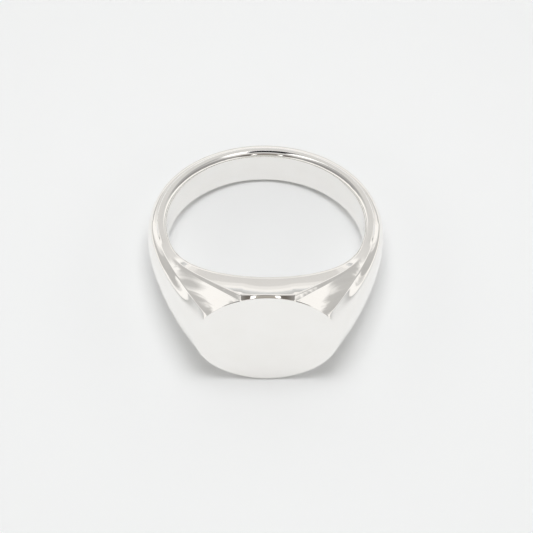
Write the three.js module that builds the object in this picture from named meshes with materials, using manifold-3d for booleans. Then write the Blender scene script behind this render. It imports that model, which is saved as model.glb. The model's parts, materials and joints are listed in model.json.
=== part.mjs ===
// A solid silver signet ring with a plain oval table, lying on its side on a flat surface.
// Millimetres, +Z up. The table faces -Y, the back of the shank lies at +Y, and the finger goes
// through along Z. The ring is a goldsmith's assembly: a table plate on a head, two shoulders and
// a hoop-shaped shank, with a film of solder in each joint.

import * as THREE from 'three';
import { mergeVertices } from 'three/addons/utils/BufferGeometryUtils.js';
import Module from 'manifold-3d';

// ---- Driving dimensions -------------------------------------------------------------------

const BORE_DIAMETER = 18.2; // inside the hoop, a US size 8 finger
const TABLE_LENGTH = 13.0; // the oval's long axis, round the finger
const TABLE_WIDTH = 10.3; // the oval's short axis, along the finger
const TABLE_BEVEL = 0.22; // between the table and the head's sides, measured along each
const BEVEL_WIDENING = 0.5; // of the oval's own fall, added to the bevel towards the facets
const HEAD_RISE = 4.3; // from the bore to the table
const SHANK_WIDTH = 3.6; // along the finger
const SHANK_THICKNESS = 1.82; // from the bore to the crest of the dome, beside the finger
const BACK_THICKNESS = 2.05; // the same, at the back of the finger
const SIDE_BAND = 0.87; // the flat side of the shank, from the bore to the dome
const RIM_RADIUS = 0.5; // rounding where the bore meets the sides
const EDGE_BREAK = 0.1; // the polished-off edge between side and dome
const FLARE_START = 2.86; // how far in front of the bore's centre the sides start to flare
const FLARE_SLOPE_AT_TABLE = 0.342; // how fast they still flare where the table's bevel starts
const TABLE_PLATE = 1.0; // thickness of the table plate
const SOLDER = 0.1; // thickness of every solder film

// The shoulder facets, and the angles at which they meet the oval (0 at the oval's long end).
const FACET_INNER_ANGLE = THREE.MathUtils.degToRad(68);
const FACET_OUTER_ANGLE = THREE.MathUtils.degToRad(34);
const FACET_BEVEL_SHARE = 0.15; // share of the facet's first cross line that runs down the bevel

// The directions in which the three long edges of a shoulder leave the table, seen along the
// finger, the lengths of their handles as shares of the edge, and how far the handles are lifted.
const SIDE_EDGE = {
  rise: THREE.MathUtils.degToRad(44.0), atTable: 0.422, atShank: 0.264, liftTable: 0, liftShank: 0,
};
const FACET_EDGE = {
  rise: THREE.MathUtils.degToRad(58.7), atTable: 0.28, atShank: 0.265, liftTable: 0.46, liftShank: -0.36,
};
const CREST = {
  rise: THREE.MathUtils.degToRad(62.5), atTable: 0.34, atShank: 0.32, liftTable: 0, liftShank: 0,
};

// The dome of the D section: how steeply it leaves the facet, at the head and on the shank.
const DOME_SLOPE_AT_HEAD = THREE.MathUtils.degToRad(68);
const DOME_SLOPE_ON_SHANK = THREE.MathUtils.degToRad(12);
const DOME_START_HANDLE = 0.72; // share of the dome's rise
const DOME_CREST_HANDLE = 0.74; // share of the dome's half width

// How fast the oval's own curve fades from the shoulder with distance from the table.
const SIDE_FADE = 4;
const FACET_FADE = 6;
const DOME_FADE = 4;

// Where the shoulders are soldered, as angles round the bore: to the head a little behind the
// table plate, and to the shank at an angle from the table.
const HEAD_JOINT_BEHIND_PLATE = THREE.MathUtils.degToRad(2.12);
const SHANK_JOINT_ANGLE = THREE.MathUtils.degToRad(75);

// How finely the curved surfaces are divided, in one quarter of the ring.
const STEPS = { table: 5, shoulder: 16, back: 16, bore: 2, rim: 3, side: 4, facet: 3, dome: 6 };
const SECTOR_STEPS = 8;
const HALVINGS = 40; // of an interval, when a point on a curve is sought

// ---- Sizes that follow --------------------------------------------------------------------

const boreRadius = BORE_DIAMETER / 2;
const tableY = -(boreRadius + HEAD_RISE);
const bevelY = tableY + TABLE_BEVEL;
const tableHalfLength = TABLE_LENGTH / 2;
const tableHalfWidth = TABLE_WIDTH / 2;
const shankHalfWidth = SHANK_WIDTH / 2;
const sideRadius = boreRadius + SIDE_BAND;
const edgeRadius = sideRadius + EDGE_BREAK;
const crestRadius = boreRadius + SHANK_THICKNESS;
const plateBack = tableY + TABLE_PLATE;
const headFront = plateBack + SOLDER;
const reach = 2 * (crestRadius - tableY); // longer than the whole ring
const WELD = 1e-5; // points closer than this are one corner

// ---- Surfaces, in the ring's own frame ----------------------------------------------------

// Half the ring's width along the finger at depth y: parallel on the shank, flared on the head,
// and straight beyond the start of the table's bevel.
function sideHeight(y) {
  const run = -bevelY - FLARE_START;
  const s = Math.max((-y - FLARE_START) / run, 0);
  const rise = tableHalfWidth + TABLE_BEVEL - shankHalfWidth;
  if (s > 1) {
    return shankHalfWidth + rise + FLARE_SLOPE_AT_TABLE * run * (s - 1);
  }
  return shankHalfWidth + rise * (3 * s * s - 2 * s * s * s)
    + FLARE_SLOPE_AT_TABLE * run * (s * s * s - s * s);
}

function ovalPoint(angle) {
  return new THREE.Vector3(
    tableHalfLength * Math.cos(angle), tableY, tableHalfWidth * Math.sin(angle));
}

// The bevel's upper edge, which widens as the oval falls away.
function bevelPoint(angle) {
  const bevel = TABLE_BEVEL + BEVEL_WIDENING * tableHalfWidth * (1 - Math.sin(angle));
  const point = ovalPoint(angle);
  point.y += bevel;
  point.z += bevel;
  return point;
}

// A long edge of the shoulder, from a point at the table to the widest point of the shank.
function longEdge(start, end, handles) {
  const length = Math.hypot(start.x - end.x, start.y - end.y);
  const first = start.clone();
  first.x += length * handles.atTable * Math.cos(handles.rise);
  first.y += length * handles.atTable * Math.sin(handles.rise);
  first.z += (end.z - start.z) * handles.atTable + handles.liftTable;
  const second = end.clone();
  second.y -= length * handles.atShank;
  second.z += handles.liftShank;
  return new THREE.CubicBezierCurve3(start, first, second, end);
}

const sideEdge = longEdge(
  bevelPoint(FACET_INNER_ANGLE), new THREE.Vector3(sideRadius, 0, shankHalfWidth), SIDE_EDGE);
const facetEdge = longEdge(
  ovalPoint(FACET_OUTER_ANGLE),
  new THREE.Vector3(edgeRadius, 0, shankHalfWidth - EDGE_BREAK), FACET_EDGE);
const crest = longEdge(ovalPoint(0), new THREE.Vector3(crestRadius, 0, 0), CREST);

// The angle round the bore, from the table, at which the crest reaches depth y.
function crestAngle(y) {
  let low = 0;
  let high = 1;
  for (let i = 0; i < HALVINGS; i += 1) {
    const t = (low + high) / 2;
    if (crest.getPoint(t).y < y) {
      low = t;
    } else {
      high = t;
    }
  }
  const point = crest.getPoint(low);
  return Math.atan2(point.x, -point.y);
}

const headJointAngle = crestAngle(headFront) + HEAD_JOINT_BEHIND_PLATE;

// The side edge lies on the flared side, and sinks to the bevel near the table.
function sideEdgePoint(t) {
  const point = sideEdge.getPoint(t);
  const sink = sideEdge.v0.z - sideHeight(sideEdge.v0.y);
  point.z = sideHeight(point.y) + sink * (1 - t) ** SIDE_FADE;
  return point;
}

// Handles that make a cubic follow the oval between two of its angles.
function ovalHandle(angle, span) {
  const k = (4 / 3) * Math.tan(span / 4);
  return new THREE.Vector3(
    tableHalfLength * Math.sin(angle) * k, 0, -tableHalfWidth * Math.cos(angle) * k);
}

// The facet's first cross line: down the end of the bevel, then along the oval.
function facetStart(s) {
  if (s < FACET_BEVEL_SHARE) {
    return bevelPoint(FACET_INNER_ANGLE).lerp(ovalPoint(FACET_INNER_ANGLE), s / FACET_BEVEL_SHARE);
  }
  const along = (s - FACET_BEVEL_SHARE) / (1 - FACET_BEVEL_SHARE);
  return ovalPoint(THREE.MathUtils.lerp(FACET_INNER_ANGLE, FACET_OUTER_ANGLE, along));
}

// A point of the facet: straight across, with the first cross line's bends fading from the table.
function facetPoint(inner, outer, atTable, s) {
  const straight = bevelPoint(FACET_INNER_ANGLE).lerp(ovalPoint(FACET_OUTER_ANGLE), s);
  const bend = facetStart(s).sub(straight).multiplyScalar(atTable);
  return inner.clone().lerp(outer, s).add(bend);
}

// One cross line of the dome, from the facet's outer edge to the crest.
function domeLine(edge, top, outward, slope, atTable) {
  const rise = Math.hypot(top.x - edge.x, top.y - edge.y) * DOME_START_HANDLE;
  const shank = outward.clone().multiplyScalar(rise);
  shank.z = -rise * Math.tan(slope);
  const table = ovalHandle(FACET_OUTER_ANGLE, FACET_OUTER_ANGLE);
  const leave = shank.lerp(table, atTable);
  const shankArrive = DOME_CREST_HANDLE * edge.z;
  const tableArrive = (4 / 3) * Math.tan(FACET_OUTER_ANGLE / 4) * tableHalfWidth;
  const arrive = top.clone();
  arrive.z = THREE.MathUtils.lerp(shankArrive, tableArrive, atTable);
  return new THREE.CubicBezierCurve3(edge, edge.clone().add(leave), arrive, top);
}

// A station is one cross line of the ring's outside: where the side ends, and the facet and the
// dome that follow it.
function shoulderStation(t) {
  const inner = sideEdgePoint(t);
  const edge = facetEdge.getPoint(t);
  const top = crest.getPoint(t);
  const outward = new THREE.Vector3(top.x - inner.x, top.y - inner.y, 0).normalize();
  const slope = THREE.MathUtils.lerp(DOME_SLOPE_AT_HEAD, DOME_SLOPE_ON_SHANK, t);
  return {
    sideEnd: inner,
    facet: (s) => facetPoint(inner, edge, (1 - t) ** FACET_FADE, s),
    dome: domeLine(edge, top, outward, slope, (1 - t) ** DOME_FADE),
  };
}

function backStation(angle) {
  const outward = new THREE.Vector3(Math.cos(angle), Math.sin(angle), 0);
  const inner = outward.clone().multiplyScalar(sideRadius).setZ(shankHalfWidth);
  const edge = outward.clone().multiplyScalar(edgeRadius).setZ(shankHalfWidth - EDGE_BREAK);
  const thicker = (BACK_THICKNESS - SHANK_THICKNESS) * Math.sin(angle) ** 2;
  const top = outward.clone().multiplyScalar(crestRadius + thicker);
  return {
    sideEnd: inner,
    facet: (s) => facetPoint(inner, edge, 0, s),
    dome: domeLine(edge, top, outward, DOME_SLOPE_ON_SHANK, 0),
  };
}

function shares(count) {
  return Array.from({ length: count + 1 }, (unused, i) => i / count);
}

// The inside of the ring and its side, from the middle of the bore to where the side ends.
function insideAndSide(end) {
  const outward = new THREE.Vector3(end.x, end.y, 0).normalize();
  const at = (radius, z) => outward.clone().multiplyScalar(radius).setZ(z);
  const rimHeight = sideHeight(outward.y * (boreRadius + RIM_RADIUS));
  const points = shares(STEPS.bore).map((s) => at(boreRadius, s * (rimHeight - RIM_RADIUS)));
  for (const s of shares(STEPS.rim).slice(1)) {
    const turn = (s * Math.PI) / 2;
    points.push(at(
      boreRadius + RIM_RADIUS * (1 - Math.cos(turn)),
      rimHeight - RIM_RADIUS * (1 - Math.sin(turn))));
  }
  const rim = points.at(-1);
  const lift = end.z - sideHeight(end.y);
  for (const s of shares(STEPS.side).slice(1)) {
    const point = rim.clone().lerp(end, s);
    point.z = sideHeight(point.y) + lift * s * s;
    points.push(point);
  }
  return points;
}

// ---- One closed body ----------------------------------------------------------------------

// Each grid is one quarter of a surface: its rows run from the table round to the back of the
// shank, and its columns from the middle of the bore over the side to the middle of the outside.
function quarterGrids() {
  const frontAngles = shares(STEPS.table).map(
    (s) => THREE.MathUtils.lerp(Math.PI / 2, FACET_INNER_ANGLE, s));
  const bevel = frontAngles.map((angle) => [bevelPoint(angle), ovalPoint(angle)]);
  bevel[0].forEach((point) => point.setX(0)); // exactly on the mirror plane
  const stations = shares(STEPS.shoulder).map(shoulderStation);
  for (const s of shares(STEPS.back).slice(1)) {
    stations.push(backStation((s * Math.PI) / 2));
  }
  const acrossFacet = shares(STEPS.facet).map((s) => THREE.MathUtils.lerp(FACET_BEVEL_SHARE, 1, s));
  const facet = stations.map((station) => [0, ...acrossFacet].map(station.facet));
  const dome = stations.map((station) => shares(STEPS.dome).map((s) => station.dome.getPoint(s)));
  const bevelled = bevel.slice(0, -1);
  const ends = [...bevelled.map(([top]) => top), ...stations.map((station) => station.sideEnd)];
  const tableEdge = bevelled.map(([, bottom]) => bottom);
  const rim = [...tableEdge, ...facet[0].slice(1), ...dome[0].slice(1)];
  const table = rim.map((point) => [point, point.clone().setZ(0)]);
  return [ends.map(insideAndSide), bevel, facet, dome, table];
}

function ringGeometry() {
  const positions = [];
  const push = (point, flipX, flipZ) => {
    positions.push(point.x * flipX, point.y, point.z * flipZ);
  };
  const quad = (corners, flipX, flipZ) => {
    const order = flipX * flipZ < 0 ? [0, 1, 2, 0, 2, 3] : [0, 2, 1, 0, 3, 2];
    order.forEach((k) => push(corners[k], flipX, flipZ));
  };
  for (const grid of quarterGrids()) {
    for (let i = 0; i + 1 < grid.length; i += 1) {
      for (let j = 0; j + 1 < grid[i].length; j += 1) {
        const corners = [grid[i][j], grid[i + 1][j], grid[i + 1][j + 1], grid[i][j + 1]];
        quad(corners, 1, 1);
        quad(corners, -1, 1);
        quad(corners, 1, -1);
        quad(corners, -1, -1);
      }
    }
  }
  const geometry = new THREE.BufferGeometry();
  geometry.setAttribute('position', new THREE.Float32BufferAttribute(positions, 3));
  return geometry;
}

// ---- Joins and cuts -----------------------------------------------------------------------

const wasm = await Module();
wasm.setup();

function solid(geometry) {
  geometry.deleteAttribute('normal');
  geometry.deleteAttribute('uv');
  const welded = mergeVertices(geometry, WELD);
  return new wasm.Manifold(new wasm.Mesh({
    numProp: 3,
    vertProperties: welded.attributes.position.array,
    triVerts: Uint32Array.from(welded.index.array),
  }));
}

function meshGeometry(body) {
  const { vertProperties, triVerts } = body.getMesh();
  const geometry = new THREE.BufferGeometry();
  geometry.setAttribute('position', new THREE.Float32BufferAttribute(vertProperties, 3));
  geometry.setIndex(new THREE.Uint32BufferAttribute(triVerts, 1));
  const faceted = geometry.toNonIndexed();
  faceted.computeVertexNormals();
  return faceted;
}

// A slab across the whole ring, square to y, between two depths.
function tableSlab(from, to) {
  const slab = new THREE.BoxGeometry(reach, to - from, reach);
  slab.translate(0, (from + to) / 2, 0);
  return solid(slab);
}

// A film that stands on the bore's axis and reaches out through the ring at one angle.
function jointFilm(angle) {
  const film = new THREE.BoxGeometry(SOLDER, reach, reach);
  film.translate(0, -reach / 2, 0);
  film.rotateZ(angle);
  return solid(film);
}

// Everything between two angles round the bore, measured from the table towards +X.
function sector(from, to) {
  const outline = new THREE.Shape();
  outline.moveTo(0, 0);
  for (const s of shares(SECTOR_STEPS)) {
    const angle = THREE.MathUtils.lerp(from, to, s);
    outline.lineTo(reach * Math.sin(angle), -reach * Math.cos(angle));
  }
  const wedge = new THREE.ExtrudeGeometry(outline, { depth: reach, bevelEnabled: false });
  wedge.translate(0, 0, -reach / 2);
  return solid(wedge);
}

const ring = solid(ringGeometry());
const headSector = sector(-headJointAngle, headJointAngle);
const rightSector = sector(headJointAngle, SHANK_JOINT_ANGLE);
const leftSector = sector(-SHANK_JOINT_ANGLE, -headJointAngle);
const headFilms = [jointFilm(headJointAngle), jointFilm(-headJointAngle)];
const shankFilms = [jointFilm(SHANK_JOINT_ANGLE), jointFilm(-SHANK_JOINT_ANGLE)];

const films = [...headFilms, ...shankFilms].reduce((all, film) => all.add(film));
const metal = ring.subtract(films);
const front = metal.intersect(headSector);

const bodies = {
  signet_table: front.intersect(tableSlab(tableY - TABLE_PLATE, plateBack)),
  table_solder: front.intersect(tableSlab(plateBack, headFront)),
  head: front.intersect(tableSlab(headFront, 0)),
  head_solder_right: ring.intersect(headFilms[0]),
  head_solder_left: ring.intersect(headFilms[1]),
  right_shoulder: metal.intersect(rightSector),
  left_shoulder: metal.intersect(leftSector),
  shank_solder_right: ring.intersect(shankFilms[0]),
  shank_solder_left: ring.intersect(shankFilms[1]),
  shank: metal.subtract(headSector).subtract(rightSector).subtract(leftSector),
};

// ---- Materials and the finished group -----------------------------------------------------

const polishedSilver = { color: 0xeceae5, roughness: 0.06, metalness: 1 };
const silverSolder = { color: 0xe6e2d8, roughness: 0.1, metalness: 1 };

// The ring lies on the lower bevel of its table and on the back of its shank.
const restTilt = -Math.atan2(
  tableHalfWidth + TABLE_BEVEL - shankHalfWidth, sideRadius - bevelY);
const pose = new THREE.Matrix4().makeRotationX(restTilt);
const ringBox = new THREE.Box3();

const lyingRing = new THREE.Group();
for (const [name, body] of Object.entries(bodies)) {
  const look = name.includes('solder') ? silverSolder : polishedSilver;
  const mesh = new THREE.Mesh(meshGeometry(body), new THREE.MeshStandardMaterial(look));
  mesh.name = name;
  ringBox.union(new THREE.Box3().setFromBufferAttribute(
    mesh.geometry.clone().applyMatrix4(pose).attributes.position));
  lyingRing.add(mesh);
}
const middle = ringBox.getCenter(new THREE.Vector3());
lyingRing.rotation.x = restTilt;
lyingRing.position.set(0, -middle.y, -ringBox.min.z);

const signetRing = new THREE.Group();
signetRing.add(lyingRing);

export default signetRing;
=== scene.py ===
"""A mirror-polished silver signet ring with a plain oval table, lying on its side on a pale sweep."""

import json
import math

import bmesh
import bpy
import numpy as np
from mathutils import Matrix, Vector
from mathutils.kdtree import KDTree


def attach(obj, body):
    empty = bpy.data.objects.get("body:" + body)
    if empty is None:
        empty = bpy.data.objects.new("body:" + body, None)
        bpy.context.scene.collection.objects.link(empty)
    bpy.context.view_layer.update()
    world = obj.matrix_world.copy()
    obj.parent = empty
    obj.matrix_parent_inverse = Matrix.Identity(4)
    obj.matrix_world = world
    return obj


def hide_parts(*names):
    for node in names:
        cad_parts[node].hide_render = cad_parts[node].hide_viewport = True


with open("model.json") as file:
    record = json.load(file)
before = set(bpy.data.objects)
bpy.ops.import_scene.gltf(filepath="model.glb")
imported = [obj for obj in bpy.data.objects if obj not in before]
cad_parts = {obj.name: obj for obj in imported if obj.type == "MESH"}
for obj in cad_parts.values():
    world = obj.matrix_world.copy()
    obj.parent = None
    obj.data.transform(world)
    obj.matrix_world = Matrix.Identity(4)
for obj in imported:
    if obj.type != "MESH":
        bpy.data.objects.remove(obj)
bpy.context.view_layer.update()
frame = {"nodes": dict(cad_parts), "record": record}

MM = 0.001
ON_PLANE = 1e-3  # millimetres: corners nearer than this to a plane lie on it
WELD = 1e-4  # millimetres: corners nearer than this are one

# ---- The frame's own sizes -----------------------------------------------------------------
#
# The ring's own frame has the finger along Z, the table at -Y and the back of the shank at +Y,
# with its origin at the middle of the bore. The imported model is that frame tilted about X.

mounts = {mount["name"]: mount for mount in frame["record"]["mounts"]}
table_normal = Vector(mounts["table_face"]["axis"])
table_centre = Vector(mounts["table_face"]["pos_m"])
tilt = math.atan2(table_normal.z, -table_normal.y)
level = Matrix.Rotation(tilt, 3, "X")


def from_table(node):
    """A CAD node's corners in millimetres, measured from the middle of the table, levelled."""
    corners = [level @ (v.co - table_centre) for v in frame["nodes"][node].data.vertices]
    return np.array(corners) / MM


def bore_radius(shank):
    """The radius of the circle that the shank's inner mid-line follows."""
    middle = shank[np.abs(shank[:, 2]) < ON_PLANE]
    back = middle[np.abs(middle[:, 0]) < ON_PLANE, 1].min()
    depth = back - middle[:, 1]
    deep = depth > 0.3 * back  # far enough round for an exact radius
    x, depth = middle[deep, 0], depth[deep]
    return float(((x**2 + depth**2) / (2 * depth)).min()), float(back)


shank_corners = from_table("shank")
table_corners = from_table("signet_table")
BORE, bore_back = bore_radius(shank_corners)
RISE = bore_back - BORE  # from the table's plane to the bore's axis
behind = shank_corners[shank_corners[:, 1] > RISE]  # the plain hoop, behind the bore's axis
SHANK_HALF = float(np.abs(behind[:, 2]).max())
CREST = float(np.abs(shank_corners[:, 0]).max())
BACK = float(shank_corners[:, 1].max()) - RISE
on_side = np.abs(behind[:, 2]) > SHANK_HALF - ON_PLANE
SIDE_RADIUS = float(np.hypot(behind[on_side, 0], behind[on_side, 1] - RISE).max())
on_table = table_corners[:, 1] < ON_PLANE
HALF_LENGTH = float(np.abs(table_corners[on_table, 0]).max())
HALF_WIDTH = float(np.abs(table_corners[on_table, 2]).max())
BEVEL = float(np.abs(table_corners[:, 2]).max()) - HALF_WIDTH
PLATE = float(table_corners[:, 1].max())
SOLDER = float(np.ptp(from_table("table_solder")[:, 1]))


def joint_angle(node):
    """The angle round the bore, from the table, at which a solder film stands."""
    corners = from_table(node)
    return math.atan2(corners[:, 0].mean(), RISE - corners[:, 1].mean())


HEAD_JOINT = joint_angle("head_solder_right")
SHANK_JOINT = joint_angle("shank_solder_right")

ring_to_world = (
    Matrix.Translation(table_centre)
    @ level.inverted().to_4x4()
    @ Matrix.Scale(MM, 4)
    @ Matrix.Translation((0, RISE, 0))
)

# ---- The design's shape, as in the CAD -----------------------------------------------------

RIM = 0.5  # rounding where the bore meets the sides
EDGE_BREAK = 0.1  # between the hoop's flat side and its dome
FLARE_START = 2.86  # from the bore's axis towards the table, where the sides start to spread
FLARE_SLOPE = 0.342  # of the sides where they meet the bevel
FACET_INNER = math.radians(68)
FACET_OUTER = math.radians(34)
BEVEL_WIDENING = 0.5  # of the oval's own fall, added to the bevel towards the facets
BEVEL_SHARE = 0.15  # share of the facet's first cross line that runs down the bevel
# the long edges of a shoulder: their direction at the table, the handles' shares of their length
# at the table and at the shank, and how far each handle is lifted
SIDE_EDGE = {"rise": math.radians(44.0), "table": 0.422, "shank": 0.264, "lifts": (0, 0)}
FACET_EDGE = {"rise": math.radians(58.7), "table": 0.28, "shank": 0.265, "lifts": (0.46, -0.36)}
CREST_EDGE = {"rise": math.radians(62.5), "table": 0.34, "shank": 0.32, "lifts": (0, 0)}
DOME_AT_HEAD = math.radians(68)
DOME_ON_SHANK = math.radians(12)
DOME_START = 0.72  # the dome's handles: a share of its width, and of its edge's height
DOME_CREST = 0.74
SIDE_FADE = 4  # powers: how fast the shape at the table fades along the shoulder
FACET_FADE = 6
DOME_FADE = 4
TABLE_Y = -RISE
BEVEL_Y = TABLE_Y + BEVEL

# how finely each stretch of the surface is divided
STEPS = {
    "front": 24, "shoulder": 90, "back": 60, "bore": 8, "rim": 9,
    "side": 20, "bevel": 10, "facet": 18, "dome": 26, "table": 16,
}


def clustered(count, start=1.0, end=1.0):
    """Shares from 0 to 1 that crowd towards the start, the end or both (powers over 1 crowd)."""
    s = np.linspace(0, 1, count + 1)
    return s**start * (1 - s) + (1 - (1 - s) ** end) * s


def cubic(a, b, c, d, s):
    """Points of cubic Bezier curves: the ends and handles broadcast over the last axis."""
    s = np.asarray(s)[..., None]
    return (1 - s) ** 3 * a + 3 * s * (1 - s) ** 2 * b + 3 * s**2 * (1 - s) * c + s**3 * d


def side_height(y):
    run = -BEVEL_Y - FLARE_START
    s = np.clip((-y - FLARE_START) / run, 0, None)
    rise = HALF_WIDTH + BEVEL - SHANK_HALF
    flared = rise * (3 * s**2 - 2 * s**3) + FLARE_SLOPE * run * (s**3 - s**2)
    straight = rise + FLARE_SLOPE * run * (s - 1)
    return SHANK_HALF + np.where(s > 1, straight, flared)


def oval(angle):
    angle = np.asarray(angle, float)
    return np.stack(
        [HALF_LENGTH * np.cos(angle), np.full_like(angle, TABLE_Y), HALF_WIDTH * np.sin(angle)], -1)


def bevel_edge(angle):
    """The bevel's upper edge, which widens as the oval falls away."""
    bevel = BEVEL + BEVEL_WIDENING * HALF_WIDTH * (1 - np.sin(np.asarray(angle, float)))
    return oval(angle) + bevel[..., None] * np.array([0, 1, 1])


def long_edge(start, end, handles, t):
    """A long edge of the shoulder from the oval to the shank's widest point, at shares t."""
    length = math.hypot(start[0] - end[0], start[1] - end[1])
    first = start + length * handles["table"] * np.array(
        [math.cos(handles["rise"]), math.sin(handles["rise"]), 0])
    first[2] = start[2] + (end[2] - start[2]) * handles["table"] + handles["lifts"][0]
    second = end - np.array([0, length * handles["shank"], -handles["lifts"][1]])
    return cubic(start, first, second, end, t)


def oval_handle(angle, span):
    k = 4 / 3 * math.tan(span / 4)
    return np.array([HALF_LENGTH * math.sin(angle) * k, 0, -HALF_WIDTH * math.cos(angle) * k])


def stations():
    """Every cross line of one quarter of the outside: side end, facet's outer edge, crest, how
    near the table it is (1 at the table, 0 on the hoop), and its direction away from the bore."""
    t = clustered(STEPS["shoulder"], start=1.5)
    inner = long_edge(bevel_edge(FACET_INNER), np.array([SIDE_RADIUS, 0, SHANK_HALF]), SIDE_EDGE, t)
    sink = inner[0, 2] - side_height(inner[0, 1])
    inner[:, 2] = side_height(inner[:, 1]) + sink * (1 - t) ** SIDE_FADE
    edge_end = np.array([SIDE_RADIUS + EDGE_BREAK, 0, SHANK_HALF - EDGE_BREAK])
    edge = long_edge(oval(FACET_OUTER), edge_end, FACET_EDGE, t)
    top = long_edge(oval(0.0), np.array([CREST, 0, 0.0]), CREST_EDGE, t)
    angle = np.linspace(0, math.pi / 2, STEPS["back"] + 1)[1:]
    out = np.stack([np.cos(angle), np.sin(angle), np.zeros_like(angle)], -1)
    up = np.array([0, 0, 1.0])
    crest = CREST + (BACK - CREST) * np.sin(angle) ** 2
    inner = np.concatenate([inner, out * SIDE_RADIUS + up * SHANK_HALF])
    edge = np.concatenate([edge, out * edge_end[0] + up * edge_end[2]])
    top = np.concatenate([top, out * crest[:, None]])
    to_table = np.concatenate([1 - t, np.zeros(len(angle))])[:, None]
    outward = top - inner
    outward[:, 2] = 0
    outward /= np.linalg.norm(outward, axis=1)[:, None]
    return inner, edge, top, to_table, outward


def facet_grid(inner, edge, to_table, s):
    """Straight across, with the bends of the first cross line fading away from the table."""
    first, last = bevel_edge(FACET_INNER), oval(FACET_OUTER)
    down = np.clip(s / BEVEL_SHARE, 0, 1)[:, None]
    along = np.clip((s - BEVEL_SHARE) / (1 - BEVEL_SHARE), 0, 1)
    arc = oval(FACET_INNER + (FACET_OUTER - FACET_INNER) * along)
    start = np.where(s[:, None] < BEVEL_SHARE, first + (oval(FACET_INNER) - first) * down, arc)
    bend = start - first - (last - first) * s[:, None]
    across = inner[:, None] + (edge - inner)[:, None] * s[None, :, None]
    return across + (to_table**FACET_FADE)[:, None] * bend[None]


def dome_grid(edge, top, to_table, outward, s):
    at_table = to_table**DOME_FADE
    slope = np.tan(DOME_ON_SHANK + (DOME_AT_HEAD - DOME_ON_SHANK) * to_table)
    rise = np.hypot(*(top - edge)[:, :2].T)[:, None] * DOME_START
    shank = outward * rise - rise * slope * np.array([0, 0, 1.0])
    table = oval_handle(FACET_OUTER, FACET_OUTER)
    leave = shank * (1 - at_table) + table * at_table
    arrive = top.copy()
    table_arrive = 4 / 3 * math.tan(FACET_OUTER / 4) * HALF_WIDTH
    arrive[:, 2:] = DOME_CREST * edge[:, 2:] * (1 - at_table) + table_arrive * at_table
    return np.stack([cubic(edge, edge + leave, arrive, top, share) for share in s], 1)


def inside_and_side(ends):
    """Rows from the middle of the bore over the rim and along the side to where the side ends."""
    out = ends * np.array([1, 1, 0])
    out /= np.linalg.norm(out, axis=1)[:, None]
    up = np.array([0, 0, 1.0])
    height = side_height(out[:, 1] * (BORE + RIM))[:, None]
    rows = [out * BORE + up * (height - RIM) * s for s in clustered(STEPS["bore"], end=1.6)]
    for turn in np.linspace(0, math.pi / 2, STEPS["rim"] + 1)[1:]:
        radius = BORE + RIM * (1 - math.cos(turn))
        rows.append(out * radius + up * (height - RIM * (1 - math.sin(turn))))
    lift = ends[:, 2] - side_height(ends[:, 1])
    for s in clustered(STEPS["side"], start=1.2, end=1.8)[1:]:
        row = rows[STEPS["bore"] + STEPS["rim"]] * (1 - s) + ends * s
        row[:, 2] = side_height(row[:, 1]) + lift * s * s
        rows.append(row)
    return np.stack(rows, 1)


def quarter():
    """The grids of one quarter of the ring (x and z positive), and its crease lines."""
    front_angles = np.linspace(math.pi / 2, FACET_INNER, STEPS["front"] + 1)
    front, bevel_ends = oval(front_angles), bevel_edge(front_angles)
    front[0, 0] = bevel_ends[0, 0] = 0
    inner, edge, top, to_table, outward = stations()
    down = clustered(STEPS["bevel"], 1.4, 1.4)
    across = np.concatenate([down[:-1] * BEVEL_SHARE,
                             BEVEL_SHARE + (1 - BEVEL_SHARE) * clustered(STEPS["facet"], 1.3, 1.7)])
    facet = facet_grid(inner, edge, to_table, across)
    dome = dome_grid(edge, top, to_table, outward, clustered(STEPS["dome"], start=1.5))
    bevel = np.stack([bevel_ends + (front - bevel_ends) * s for s in down], 1)
    ends = np.concatenate([bevel_ends[:-1], inner])
    rim = np.concatenate([front[:-1], facet[0, STEPS["bevel"]:], dome[0, 1:]])
    middle = np.array([0, TABLE_Y, 0])
    rings = np.stack([middle + (rim - middle) * (1 - s) for s in clustered(STEPS["table"], 1.8)], 1)
    creases = {"table": rim, "bevel": bevel_ends, "side": inner, "facet": edge}
    return [inside_and_side(ends), bevel, facet, dome, rings], creases


# ---- The whole ring as one fine surface ----------------------------------------------------


def ring_surface():
    """Welded corners and quads of the whole ring in the ring's frame, and its crease samples."""
    grids, creases = quarter()
    corners, quads, count = [], [], 0
    for flip_x in (1, -1):
        for flip_z in (1, -1):
            for grid in grids:
                rows, columns = grid.shape[:2]
                corners.append(grid.reshape(-1, 3) * [flip_x, 1, flip_z])
                at = np.arange(rows * columns).reshape(rows, columns) + count
                quad = np.stack([at[:-1, :-1], at[1:, :-1], at[1:, 1:], at[:-1, 1:]], -1).reshape(-1, 4)
                quads.append(quad[:, ::-1] if flip_x * flip_z > 0 else quad)
                count += rows * columns
    corners = np.concatenate(corners)
    quads = np.concatenate(quads)
    _, first, weld = np.unique(np.round(corners / WELD).astype(np.int64), axis=0,
                               return_index=True, return_inverse=True)
    return corners[first], weld.reshape(-1)[quads], creases


def corner_areas(corners, quads):
    p = corners[quads]
    areas = np.linalg.norm(np.cross(p[:, 2] - p[:, 0], p[:, 3] - p[:, 1]), axis=1) / 2
    total = np.zeros(len(corners))
    for column in range(4):
        np.add.at(total, quads[:, column], areas / 4)
    return total


# radii of the polished creases: round the table's edge from its middle to its ends, along the bevel,
# and along the two long edges from the table to the bore's axis
TABLE_POLISH = (0.1, 0.12, 0.2, 0.35)
BEVEL_POLISH = 0.12
LONG_EDGE_POLISH = {"side": (0.1, 0.16), "facet": (0.08, 0.12)}
CREASE_SAMPLES = 6  # between two neighbouring corners of a crease


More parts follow.
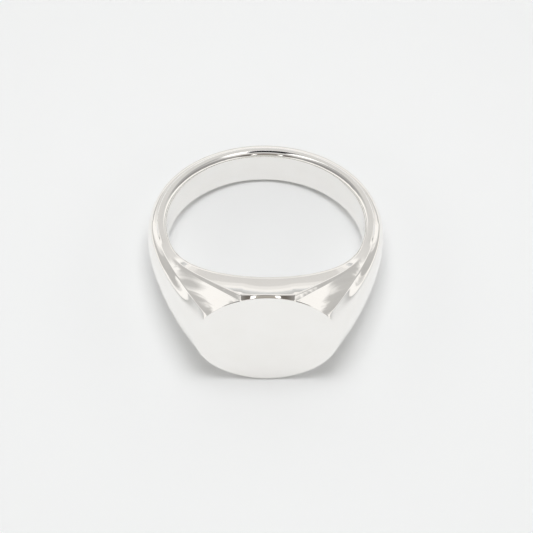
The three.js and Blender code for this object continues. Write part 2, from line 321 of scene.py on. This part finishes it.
def edge_radii(creases):
    """Samples of every crease with the radius of its polishing."""
    line = creases["table"]
    along = np.abs(line[:, 0]) / HALF_LENGTH
    facet_end = math.cos(FACET_OUTER)
    radius = np.interp(along, [0, facet_end * 0.97, facet_end * 1.05, 1], TABLE_POLISH)
    samples = [(line, radius), (creases["bevel"], np.full(len(creases["bevel"]), BEVEL_POLISH))]
    for name, near_and_far in LONG_EDGE_POLISH.items():
        line = creases[name]
        samples.append((line, np.interp(line[:, 1], [TABLE_Y, 0], near_and_far)))
    points, radii = [], []
    for line, radius in samples:
        for share in np.linspace(0, 1, CREASE_SAMPLES, endpoint=False):
            points.append(line[:-1] * (1 - share) + line[1:] * share)
            radii.append(radius[:-1] * (1 - share) + radius[1:] * share)
    points, radii = np.concatenate(points), np.concatenate(radii)
    flips = np.array([[x, 1, z] for x in (1, -1) for z in (1, -1)])
    return (points[None] * flips[:, None]).reshape(-1, 3), np.tile(radii, 4)


def tree_of(points):
    tree = KDTree(len(points))
    for index, point in enumerate(points):
        tree.insert(point, index)
    tree.balance()
    return tree


def polished(corners, quads, creases):
    """The corners with every crease rounded: each corner near one moves to the mean of the
    surface within the polishing radius."""
    points, radii = edge_radii(creases)
    crease_tree = tree_of(points)
    corner_tree = tree_of(corners)
    areas = corner_areas(corners, quads)
    result = corners.copy()
    widest = radii.max()
    for index, corner in enumerate(corners):
        _, nearest, gap = crease_tree.find(corner)
        if gap >= widest:
            continue
        radius = radii[nearest]
        if gap >= radius:
            continue
        found = corner_tree.find_range(corner, radius)
        near = np.fromiter((f[1] for f in found), int, len(found))
        far = np.fromiter((f[2] for f in found), float, len(found))
        weights = areas[near] * (1 - (far / radius) ** 2) ** 2
        result[index] = (corners[near] * weights[:, None]).sum(0) / weights.sum()
    return result


def smooth_normals(corners, quads):
    p = corners[quads]
    face = np.cross(p[:, 2] - p[:, 0], p[:, 3] - p[:, 1])
    length = np.linalg.norm(face, axis=1)[:, None]
    face /= np.where(length > 0, length, 1)
    total = np.zeros_like(corners)
    for column in range(4):
        before = p[:, column] - p[:, column - 1]
        after = p[:, (column + 1) % 4] - p[:, column]
        cross = np.linalg.norm(np.cross(before, after), axis=1)
        angle = np.arctan2(cross, -(before * after).sum(1))
        np.add.at(total, quads[:, column], face * angle[:, None])
    return total / np.linalg.norm(total, axis=1)[:, None]


corners, quads, creases = ring_surface()
corners = polished(corners, quads, creases)
normals = smooth_normals(corners, quads)

whole = bmesh.new()
normal_layer = whole.verts.layers.float_vector.new("ring_normal")
made = [whole.verts.new(corner) for corner in corners]
for vert, normal in zip(made, normals):
    vert[normal_layer] = normal
for quad in quads:
    ends = [made[i] for i in dict.fromkeys(quad.tolist())]
    if len(ends) > 2:
        whole.faces.new(ends)


# ---- The pieces ----------------------------------------------------------------------------


def radial_plane(angle, offset, keep):
    """A plane through the finger's axis at an angle from the table; keeps what is past it
    (keep 1) or before it (keep -1), counted to the right, with an offset away from it."""
    across = Vector((math.cos(angle), math.sin(angle), 0))
    return across * offset * keep, across * keep


def level_plane(depth, keep):
    return Vector((0, TABLE_Y + depth, 0)), Vector((0, keep, 0))


def cut_piece(planes, open_planes=()):
    """A copy of the ring, cut by planes (point, direction kept) and closed at each."""
    piece = whole.copy()
    cap = piece.faces.layers.int.new("cut_face")
    for number, (point, direction) in enumerate([*open_planes, *planes]):
        cut = bmesh.ops.bisect_plane(
            piece, geom=piece.verts[:] + piece.edges[:] + piece.faces[:], dist=1e-6,
            plane_co=point, plane_no=direction, clear_inner=True)
        if number >= len(open_planes):
            rim = [item for item in cut["geom_cut"] if isinstance(item, bmesh.types.BMEdge)]
            rim = [edge for edge in rim if edge.is_valid and edge.is_boundary]
            filled = bmesh.ops.triangle_fill(piece, edges=rim, use_beauty=True, normal=-direction)
            for item in filled["geom"]:
                if isinstance(item, bmesh.types.BMFace):
                    item[cap] = 1
                    item.normal_update()
                    if item.normal.dot(direction) > 0:
                        item.normal_flip()
    return piece


def mirror_joined(half):
    """A half piece, open at x = 0, joined with its mirror image."""
    copy = half.copy()
    layer = copy.verts.layers.float_vector["ring_normal"]
    for vert in copy.verts:
        vert.co.x = -vert.co.x
        value = vert[layer]
        vert[layer] = (-value.x, value.y, value.z)
    bmesh.ops.reverse_faces(copy, faces=copy.faces[:])
    mesh = bpy.data.meshes.new("half")
    copy.to_mesh(mesh)
    half.from_mesh(mesh)
    bpy.data.meshes.remove(mesh)
    seam = [vert for vert in half.verts if abs(vert.co.x) < WELD]
    bmesh.ops.remove_doubles(half, verts=seam, dist=WELD)
    return half


def add_piece(name, shape, node, material):
    shape.normal_update()
    mesh = bpy.data.meshes.new(name)
    shape.to_mesh(mesh)
    shape.free()
    caps = np.zeros(len(mesh.polygons), np.int32)
    mesh.attributes["cut_face"].data.foreach_get("value", caps)
    values = np.zeros(len(mesh.vertices) * 3)
    mesh.attributes["ring_normal"].data.foreach_get("vector", values)
    values = values.reshape(-1, 3)
    loops = np.zeros((len(mesh.loops), 3))
    for polygon, is_cap in zip(mesh.polygons, caps):
        for loop in polygon.loop_indices:
            if is_cap:
                loops[loop] = polygon.normal
            else:
                loops[loop] = values[mesh.loops[loop].vertex_index]
    mesh.attributes.remove(mesh.attributes["cut_face"])
    mesh.attributes.remove(mesh.attributes["ring_normal"])
    mesh.transform(ring_to_world)
    turn = np.array(ring_to_world.to_3x3().normalized())
    loops = loops @ turn.T
    loops /= np.linalg.norm(loops, axis=1)[:, None]
    mesh.polygons.foreach_set("use_smooth", np.ones(len(mesh.polygons), bool))
    mesh.normals_split_custom_set(loops.tolist())
    mesh.materials.append(material)
    piece = bpy.data.objects.new(name, mesh)
    bpy.context.collection.objects.link(piece)
    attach(piece, "root")
    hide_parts(node)
    return piece


# ---- Materials -----------------------------------------------------------------------------


def silver(name, colour, warm, roughness, wave):
    """Polished silver: a mirror with faint waves and wiping marks left by hand polishing."""
    material = bpy.data.materials.new(name)
    material.use_nodes = True
    nodes, links = material.node_tree.nodes, material.node_tree.links
    nodes.clear()
    out = nodes.new("ShaderNodeOutputMaterial")
    shader = nodes.new("ShaderNodeBsdfPrincipled")
    shader.inputs["Metallic"].default_value = 1
    links.new(shader.outputs["BSDF"], out.inputs["Surface"])
    place = nodes.new("ShaderNodeTexCoord")

    def noise(scale, detail=2.0, rough=0.5, stretch=None):
        node = nodes.new("ShaderNodeTexNoise")
        node.inputs["Scale"].default_value = scale
        node.inputs["Detail"].default_value = detail
        node.inputs["Roughness"].default_value = rough
        source = place.outputs["Object"]
        if stretch:
            mapping = nodes.new("ShaderNodeMapping")
            mapping.inputs["Scale"].default_value = stretch
            links.new(source, mapping.inputs["Vector"])
            source = mapping.outputs["Vector"]
        links.new(source, node.inputs["Vector"])
        return node.outputs["Fac"]

    def mapped(value, low, high):
        node = nodes.new("ShaderNodeMapRange")
        node.inputs["From Min"].default_value = 0.3  # most of the noise lies between these
        node.inputs["From Max"].default_value = 0.7
        node.inputs["To Min"].default_value = low
        node.inputs["To Max"].default_value = high
        links.new(value, node.inputs["Value"])
        return node.outputs["Result"]

    tint = nodes.new("ShaderNodeMix")
    tint.data_type = "RGBA"
    tint.inputs["A"].default_value = (*colour, 1)
    tint.inputs["B"].default_value = (*warm, 1)
    links.new(mapped(noise(420, 3), 0, 1), tint.inputs["Factor"])
    links.new(tint.outputs["Result"], shader.inputs["Base Color"])
    links.new(mapped(noise(900, 4), roughness * 0.8, roughness * 1.3), shader.inputs["Roughness"])

    waves = nodes.new("ShaderNodeBump")
    waves.inputs["Strength"].default_value = 1
    waves.inputs["Distance"].default_value = wave
    links.new(noise(330, 2, 0.4), waves.inputs["Height"])
    marks = nodes.new("ShaderNodeBump")
    marks.inputs["Strength"].default_value = 1
    marks.inputs["Distance"].default_value = wave * 0.04
    links.new(noise(9000, 2, 0.5, (1, 0.12, 1)), marks.inputs["Height"])
    links.new(waves.outputs["Normal"], marks.inputs["Normal"])
    links.new(marks.outputs["Normal"], shader.inputs["Normal"])
    return material


POLISH_WAVE = 0.006 * MM
polished_silver = silver(
    "polished_silver", (0.975, 0.962, 0.942), (0.96, 0.945, 0.92), 0.05, POLISH_WAVE)
silver_solder = silver(
    "silver_solder", (0.97, 0.955, 0.93), (0.955, 0.938, 0.91), 0.055, POLISH_WAVE)

HALF_FILM = SOLDER / 2
SIDES = {"right": 1, "left": -1}

plate = cut_piece([level_plane(PLATE, -1)])
add_piece("table_plate", plate, "signet_table", polished_silver)
table_film = cut_piece([level_plane(PLATE, 1), level_plane(PLATE + SOLDER, -1)])
add_piece("table_seam", table_film, "table_solder", silver_solder)
block = cut_piece([
    level_plane(PLATE + SOLDER, 1),
    radial_plane(HEAD_JOINT, HALF_FILM, -1),
    radial_plane(-HEAD_JOINT, HALF_FILM, 1),
])
add_piece("head_block", block, "head", polished_silver)
right_half = (Vector(), Vector((1, 0, 0)))
bow = mirror_joined(cut_piece([radial_plane(SHANK_JOINT, HALF_FILM, 1)], [right_half]))
add_piece("shank_bow", bow, "shank", polished_silver)
for side, sign in SIDES.items():
    bar = cut_piece([
        radial_plane(sign * HEAD_JOINT, HALF_FILM, sign),
        radial_plane(sign * SHANK_JOINT, HALF_FILM, -sign),
    ])
    add_piece(f"{side}_shoulder_bar", bar, f"{side}_shoulder", polished_silver)
    for joint, angle in (("head", HEAD_JOINT), ("shank", SHANK_JOINT)):
        along = Vector((math.sin(angle) * sign, -math.cos(angle), 0))
        film = cut_piece([
            radial_plane(sign * angle, -HALF_FILM, 1),
            radial_plane(sign * angle, -HALF_FILM, -1),
        ], [(Vector(), along)])
        node = f"{joint}_solder_{side}"
        add_piece(f"{side}_{joint}_seam", film, node, silver_solder)

# ---- The scene: a pale sweep in a bright tent ----------------------------------------------

RING_MIDDLE = 0.005  # height of the ring's middle above the paper


def plain(name, colour, emission=0.0):
    """Matt paper, or an even glow where there is emission."""
    material = bpy.data.materials.new(name)
    material.use_nodes = True
    nodes, links = material.node_tree.nodes, material.node_tree.links
    nodes.clear()
    out = nodes.new("ShaderNodeOutputMaterial")
    if emission:
        shader = nodes.new("ShaderNodeEmission")
        shader.inputs["Color"].default_value = (*colour, 1)
        shader.inputs["Strength"].default_value = emission
        links.new(shader.outputs["Emission"], out.inputs["Surface"])
    else:
        shader = nodes.new("ShaderNodeBsdfPrincipled")
        shader.inputs["Base Color"].default_value = (*colour, 1)
        shader.inputs["Roughness"].default_value = 0.9
        shader.inputs["Specular IOR Level"].default_value = 0
        links.new(shader.outputs["BSDF"], out.inputs["Surface"])
    return material


def sheet(name, size, place, facing, material):
    """A flat rectangle centred at a place, its face turned towards a point."""
    mesh = bpy.data.meshes.new(name)
    w, h = size[0] / 2, size[1] / 2
    mesh.from_pydata([(-w, -h, 0), (w, -h, 0), (w, h, 0), (-w, h, 0)], [], [(0, 1, 2, 3)])
    mesh.materials.append(material)
    item = bpy.data.objects.new(name, mesh)
    item.location = place
    item.rotation_euler = (Vector(facing) - Vector(place)).to_track_quat("Z", "Y").to_euler()
    bpy.context.collection.objects.link(item)
    return item


def only_reflected(item):
    """Hides a sheet from the camera and from the paper, so that only the metal mirrors it."""
    item.visible_camera = False
    item.visible_diffuse = False
    item.visible_shadow = False


def card(name, size, direction, distance, colour, strength):
    """A glowing card seen only in reflections, in a direction from the ring: a painted reflection."""
    middle = Vector((0, 0, RING_MIDDLE))
    place = direction.normalized() * distance + middle
    only_reflected(sheet(name, size, place, middle, plain(name, colour, strength)))


sheet("floor", (3, 3), (0, 0, 0), (0, 0, 1), plain("floor_paper", (0.925, 0.94, 0.95)))

world = bpy.data.worlds.new("tent")
bpy.context.scene.world = world
world.use_nodes = True
tent = world.node_tree
sky = tent.nodes["Background"]
direction = tent.nodes.new("ShaderNodeTexCoord")
parts = tent.nodes.new("ShaderNodeSeparateXYZ")
tent.links.new(direction.outputs["Generated"], parts.inputs["Vector"])

TINT = (1.0, 0.985, 0.96)  # of the tent's cloth
# greys of the tent's walls as (height, grey), the height going from 0 at the horizon to 1 overhead
BACK_WALL = (
    (0.0, 1.0), (0.07, 1.0), (0.15, 0.74), (0.58, 0.68), (0.66, 0.42), (0.8, 0.45), (0.9, 0.66))
SIDE_WALLS = (
    (0.0, 1.0), (0.09, 1.0), (0.15, 0.5), (0.28, 0.56), (0.35, 1.0), (0.57, 0.98), (0.64, 0.3))
FOLD_HEIGHT = 0.22  # between the lowest and the highest that a fold can set the side walls' bands
# colours of the dim room, the white strips and the dark slit
ROOM = (0.16, 0.145, 0.13, 1)
STRIP = (1.3, 1.3, 1.3, 1)
SLIT = (0.02, 0.018, 0.02, 1)


def tent_ramp(value, stops):
    """A grey that follows a value between stops, with the cloth's warm tint."""
    node = tent.nodes.new("ShaderNodeValToRGB")
    tent.links.new(value, node.inputs["Fac"])
    for number, (at, grey) in enumerate(stops):
        stop = node.color_ramp.elements[number] if number < 2 else node.color_ramp.elements.new(at)
        stop.position = at
        stop.color = (*(grey * part for part in TINT), 1)
    return node.outputs["Color"]


def tent_share(value, low, high):
    """A share that goes smoothly from 0 at one value to 1 at another, which may be the lower."""
    node = tent.nodes.new("ShaderNodeMapRange")
    node.interpolation_type = "SMOOTHSTEP"
    node.inputs["From Min"].default_value = low
    node.inputs["From Max"].default_value = high
    tent.links.new(value, node.inputs["Value"])
    return node.outputs["Result"]


def tent_math(operation, *values):
    """One step of arithmetic on sockets and plain numbers."""
    node = tent.nodes.new("ShaderNodeMath")
    node.operation = operation
    for number, value in enumerate(values):
        if isinstance(value, float):
            node.inputs[number].default_value = value
        else:
            tent.links.new(value, node.inputs[number])
    return node.outputs["Value"]


def tent_mix(one, other, share):
    """One colour, giving way to another (a socket or a plain colour) by a share."""
    node = tent.nodes.new("ShaderNodeMix")
    node.data_type = "RGBA"
    tent.links.new(one, node.inputs["A"])
    if isinstance(other, tuple):
        node.inputs["B"].default_value = other
    else:
        tent.links.new(other, node.inputs["B"])
    tent.links.new(share, node.inputs["Factor"])
    return node.outputs["Result"]


# the cloth at the sides hangs in folds, which bend the edges of its bright and dim bands
folds = tent.nodes.new("ShaderNodeTexNoise")
folds.inputs["Scale"].default_value = 7
folds.inputs["Detail"].default_value = 3
folds.inputs["Distortion"].default_value = 1.2
tent.links.new(direction.outputs["Generated"], folds.inputs["Vector"])
height = parts.outputs["Z"]
lowered = tent_math("SUBTRACT", height, FOLD_HEIGHT / 2)
folded = tent_math("MULTIPLY_ADD", folds.outputs["Fac"], FOLD_HEIGHT, lowered)
sideways = tent_math("ABSOLUTE", parts.outputs["X"])
back_cloth = tent_ramp(height, BACK_WALL)
side_cloth = tent_ramp(folded, SIDE_WALLS)
cloth = tent_mix(back_cloth, side_cloth, tent_share(sideways, 0.3, 0.5))

# the dim room round the camera, through the tent's front opening
high_up = tent_share(height, 0.5, 0.62)
in_front = tent_share(parts.outputs["Y"], -0.24, -0.36)
near_middle = tent_share(sideways, 0.5, 0.3)
opening = tent_math("MULTIPLY", tent_math("MULTIPLY", high_up, in_front), near_middle)
tented = tent_mix(cloth, ROOM, opening)


def toward(axis):
    """How far a direction points along an axis."""
    node = tent.nodes.new("ShaderNodeVectorMath")
    node.operation = "DOT_PRODUCT"
    node.inputs[1].default_value = axis
    tent.links.new(direction.outputs["Generated"], node.inputs[0])
    return node.outputs["Value"]


# a dark slit between two white strips, which widen as they rise from their foot on the back wall
SLIT_FOOT = (0, 0.809, 0.586)
SLIT_RISE = (0, -0.586, 0.809)
rising = toward(SLIT_RISE)
spread = tent_math("DIVIDE", sideways, rising)
above_foot = tent_share(rising, 0.02, 0.08)
below_top = tent_share(toward(SLIT_FOOT), 0.62, 0.76)
strips = tent_math("MULTIPLY", above_foot, below_top)
white_share = tent_math("MULTIPLY", strips, tent_share(spread, 0.5, 0.38))
dark_share = tent_math("MULTIPLY", strips, tent_share(spread, 0.2, 0.17))
tented = tent_mix(tented, STRIP, white_share)
tented = tent_mix(tented, SLIT, dark_share)
tent.links.new(tented, sky.inputs["Color"])
sky.inputs["Strength"].default_value = 1.0


def soft_light(name, place, size, energy):
    """A round soft light that shines on the paper and isn't seen in the metal."""
    light = bpy.data.lights.new(name, "AREA")
    light.shape = "DISK"
    light.size = size
    light.energy = energy
    lamp = bpy.data.objects.new(name, light)
    lamp.location = place
    lamp.rotation_euler = (-Vector(place)).to_track_quat("-Z", "Y").to_euler()
    lamp.visible_glossy = False
    lamp.visible_camera = False
    bpy.context.collection.objects.link(lamp)


soft_light("overhead", (0, 0, 0.2), 0.12, 0.176)

# painted reflection of the paper behind the ring: glowing sheets seen only in the metal, with painted
# shade near the ring, lighter further back
SHADE_WIDTH = 0.05
SHADE_HEIGHT = 0.0004  # just above the paper
SHADES = {  # depth, distance of the near edge behind the frame's origin, grey
    "near_shade": (0.02, 0.022, 0.7),
    "middle_shade": (0.02, 0.042, 0.84),
    "far_shade": (0.04, 0.062, 0.95),
}
for name, (depth, start, grey) in SHADES.items():
    middle = start + depth / 2
    glow = plain(name, (grey, grey * 0.98, grey * 0.95), 1.0)
    only_reflected(sheet(name, (SHADE_WIDTH, depth), (0, middle, SHADE_HEIGHT), (0, middle, 1), glow))

# ---- The camera ----------------------------------------------------------------------------

# in millimetres, for a ring whose bore has the radius given here
CAMERA = {
    "elevation": math.radians(44.72), "yaw": math.radians(-1.5), "roll": math.radians(1.32),
    "distance": 300.0, "right": 0.163, "up": -3.046, "bore": 9.45, "lens": 210.259, "sensor": 36,
}

elevation, yaw, roll = CAMERA["elevation"], CAMERA["yaw"], CAMERA["roll"]
flat = math.cos(elevation)
back = Vector((math.sin(yaw) * flat, -math.cos(yaw) * flat, math.sin(elevation)))
right = (-back).cross(Vector((0, 0, 1))).normalized()
up = right.cross(-back)
place = (back * CAMERA["distance"] + right * CAMERA["right"] + up * CAMERA["up"]) * (BORE / CAMERA["bore"])
rolled_right = right * math.cos(roll) + up * math.sin(roll)
rolled_up = up * math.cos(roll) - right * math.sin(roll)
turn = ring_to_world.to_3x3().normalized() @ Matrix((rolled_right, rolled_up, back)).transposed()
camera_data = bpy.data.cameras.new("camera")
camera_data.lens = CAMERA["lens"]
camera_data.sensor_width = CAMERA["sensor"]
camera_data.clip_start = 0.01
camera = bpy.data.objects.new("camera", camera_data)
camera.matrix_world = Matrix.Translation(ring_to_world @ place) @ turn.to_4x4()
bpy.context.collection.objects.link(camera)
bpy.context.scene.camera = camera

# painted reflections: glowing cards seen only in the metal stand in for the camera and, as painted glints,
# for a lamp on each side of it
LAMP_OFFSET = 0.195
LAMP_WHITE = (1.0, 0.99, 0.97)
toward_camera = camera.matrix_world.translation.normalized()
card("painted_camera_reflection", (0.19, 0.09), toward_camera, 0.45, (0.44, 0.41, 0.37), 1.0)
for side, sign in SIDES.items():
    beside = toward_camera + Vector((sign * LAMP_OFFSET, 0, 0))
    card(f"{side}_lamp", (0.03, 0.07), beside, 0.43, LAMP_WHITE, 2.5)

view = bpy.context.scene.view_settings
view.view_transform = "Standard"
view.look = "None"
